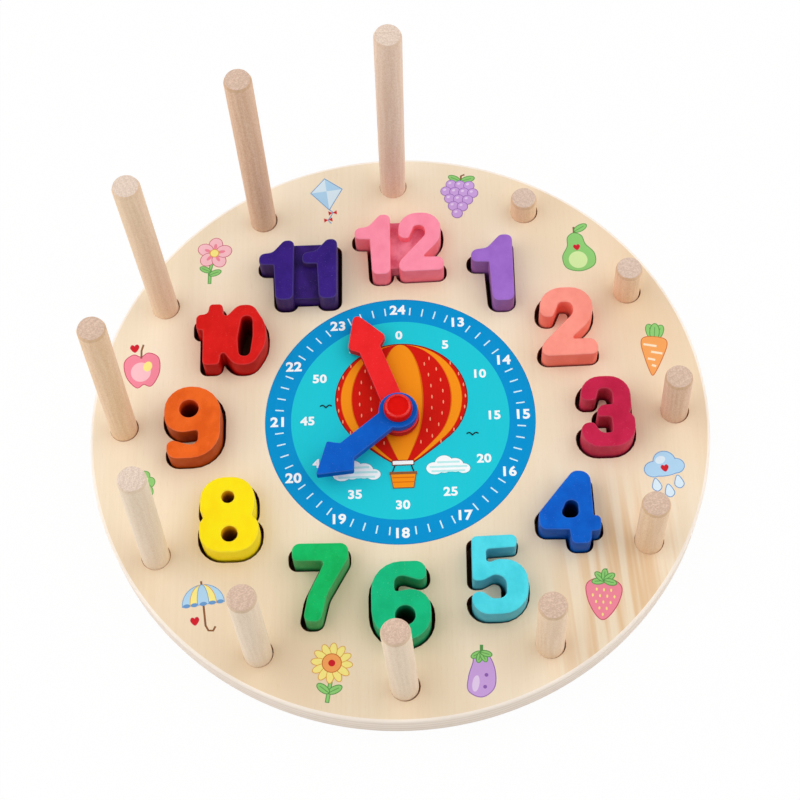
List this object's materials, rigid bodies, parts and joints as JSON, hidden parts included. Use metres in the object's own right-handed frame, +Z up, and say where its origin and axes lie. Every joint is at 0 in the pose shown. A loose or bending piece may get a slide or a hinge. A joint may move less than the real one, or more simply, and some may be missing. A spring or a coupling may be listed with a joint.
{
  "type": "clock puzzle",
  "caption": "Round wooden clock puzzle with lift-out coloured numbers, a printed dial with two turning hands, and counting posts of rising height round the rim.",
  "frame": {"origin": "middle of the board's underside, on the axis of the hands", "axes": "+Z up out of the board's face, +Y towards twelve o'clock, +X towards three o'clock"},
  "size_m": [0.28, 0.28, 0.1377],
  "materials": {
    "birch_ply_lower": "sanded plywood, clear varnish",
    "birch_ply_upper": "sanded plywood, clear varnish",
    "dial_print": "ink printed on the upper sheet",
    "beech_dowel": "raw sanded dowel",
    "clear_plastic": "moulded",
    "red_plastic": "moulded, glossy",
    "red_hand_paint": "painted, satin",
    "blue_hand_paint": "painted, satin",
    "purple_paint": "painted, satin",
    "coral_paint": "painted, satin",
    "crimson_paint": "painted, satin",
    "blue_paint": "painted, satin",
    "cyan_paint": "painted, satin",
    "green_paint": "painted, satin",
    "leaf_green_paint": "painted, satin",
    "yellow_paint": "painted, satin",
    "orange_paint": "painted, satin",
    "red_paint": "painted, satin",
    "indigo_paint": "painted, satin",
    "pink_paint": "painted, satin"
  },
  "bodies": {
    "board": {"base_board": "birch_ply_lower", "top_board": "birch_ply_upper", "spacer_washer": "clear_plastic", "hub_pin": "red_plastic", "pin_retainer": "red_plastic"},
    "minute_hand": {"minute_hand": "red_hand_paint"},
    "hour_hand": {"hour_hand": "blue_hand_paint"},
    "number_01": {"number_01": "purple_paint"},
    "number_02": {"number_02": "coral_paint"},
    "number_03": {"number_03": "crimson_paint"},
    "number_04": {"number_04": "blue_paint"},
    "number_05": {"number_05": "cyan_paint"},
    "number_06": {"number_06": "green_paint"},
    "number_07": {"number_07": "leaf_green_paint"},
    "number_08": {"number_08": "yellow_paint"},
    "number_09": {"number_09": "orange_paint"},
    "number_10": {"number_10": "red_paint"},
    "number_11": {"number_11": "indigo_paint"},
    "number_12": {"number_12": "pink_paint"},
    "post_01": {"post_01": "beech_dowel"},
    "post_02": {"post_02": "beech_dowel"},
    "post_03": {"post_03": "beech_dowel"},
    "post_04": {"post_04": "beech_dowel"},
    "post_05": {"post_05": "beech_dowel"},
    "post_06": {"post_06": "beech_dowel"},
    "post_07": {"post_07": "beech_dowel"},
    "post_08": {"post_08": "beech_dowel"},
    "post_09": {"post_09": "beech_dowel"},
    "post_10": {"post_10": "beech_dowel"},
    "post_11": {"post_11": "beech_dowel"},
    "post_12": {"post_12": "beech_dowel"}
  },
  "joints": [
    {"name": "minute_hand_turn", "type": "hinge", "parent": "board", "child": "minute_hand", "pos_m": [0, 0, 0.0177], "axis": [0, 0, 1], "continuous": true},
    {"name": "hour_hand_turn", "type": "hinge", "parent": "board", "child": "hour_hand", "pos_m": [0, 0, 0.0222], "axis": [0, 0, 1], "continuous": true},
    {"name": "number_01_lift", "type": "slide", "parent": "board", "child": "number_01", "axis": [0, 0, 1], "range_m": [0, 0.03]},
    {"name": "number_02_lift", "type": "slide", "parent": "board", "child": "number_02", "axis": [0, 0, 1], "range_m": [0, 0.03]},
    {"name": "number_03_lift", "type": "slide", "parent": "board", "child": "number_03", "axis": [0, 0, 1], "range_m": [0, 0.03]},
    {"name": "number_04_lift", "type": "slide", "parent": "board", "child": "number_04", "axis": [0, 0, 1], "range_m": [0, 0.03]},
    {"name": "number_05_lift", "type": "slide", "parent": "board", "child": "number_05", "axis": [0, 0, 1], "range_m": [0, 0.03]},
    {"name": "number_06_lift", "type": "slide", "parent": "board", "child": "number_06", "axis": [0, 0, 1], "range_m": [0, 0.03]},
    {"name": "number_07_lift", "type": "slide", "parent": "board", "child": "number_07", "axis": [0, 0, 1], "range_m": [0, 0.03]},
    {"name": "number_08_lift", "type": "slide", "parent": "board", "child": "number_08", "axis": [0, 0, 1], "range_m": [0, 0.03]},
    {"name": "number_09_lift", "type": "slide", "parent": "board", "child": "number_09", "axis": [0, 0, 1], "range_m": [0, 0.03]},
    {"name": "number_10_lift", "type": "slide", "parent": "board", "child": "number_10", "axis": [0, 0, 1], "range_m": [0, 0.03]},
    {"name": "number_11_lift", "type": "slide", "parent": "board", "child": "number_11", "axis": [0, 0, 1], "range_m": [0, 0.03]},
    {"name": "number_12_lift", "type": "slide", "parent": "board", "child": "number_12", "axis": [0, 0, 1], "range_m": [0, 0.03]},
    {"name": "post_01_lift", "type": "slide", "parent": "board", "child": "post_01", "axis": [0, 0, 1], "range_m": [0, 0.03]},
    {"name": "post_02_lift", "type": "slide", "parent": "board", "child": "post_02", "axis": [0, 0, 1], "range_m": [0, 0.03]},
    {"name": "post_03_lift", "type": "slide", "parent": "board", "child": "post_03", "axis": [0, 0, 1], "range_m": [0, 0.03]},
    {"name": "post_04_lift", "type": "slide", "parent": "board", "child": "post_04", "axis": [0, 0, 1], "range_m": [0, 0.03]},
    {"name": "post_05_lift", "type": "slide", "parent": "board", "child": "post_05", "axis": [0, 0, 1], "range_m": [0, 0.03]},
    {"name": "post_06_lift", "type": "slide", "parent": "board", "child": "post_06", "axis": [0, 0, 1], "range_m": [0, 0.03]},
    {"name": "post_07_lift", "type": "slide", "parent": "board", "child": "post_07", "axis": [0, 0, 1], "range_m": [0, 0.03]},
    {"name": "post_08_lift", "type": "slide", "parent": "board", "child": "post_08", "axis": [0, 0, 1], "range_m": [0, 0.03]},
    {"name": "post_09_lift", "type": "slide", "parent": "board", "child": "post_09", "axis": [0, 0, 1], "range_m": [0, 0.03]},
    {"name": "post_10_lift", "type": "slide", "parent": "board", "child": "post_10", "axis": [0, 0, 1], "range_m": [0, 0.03]},
    {"name": "post_11_lift", "type": "slide", "parent": "board", "child": "post_11", "axis": [0, 0, 1], "range_m": [0, 0.03]},
    {"name": "post_12_lift", "type": "slide", "parent": "board", "child": "post_12", "axis": [0, 0, 1], "range_m": [0, 0.03]}
  ]
}
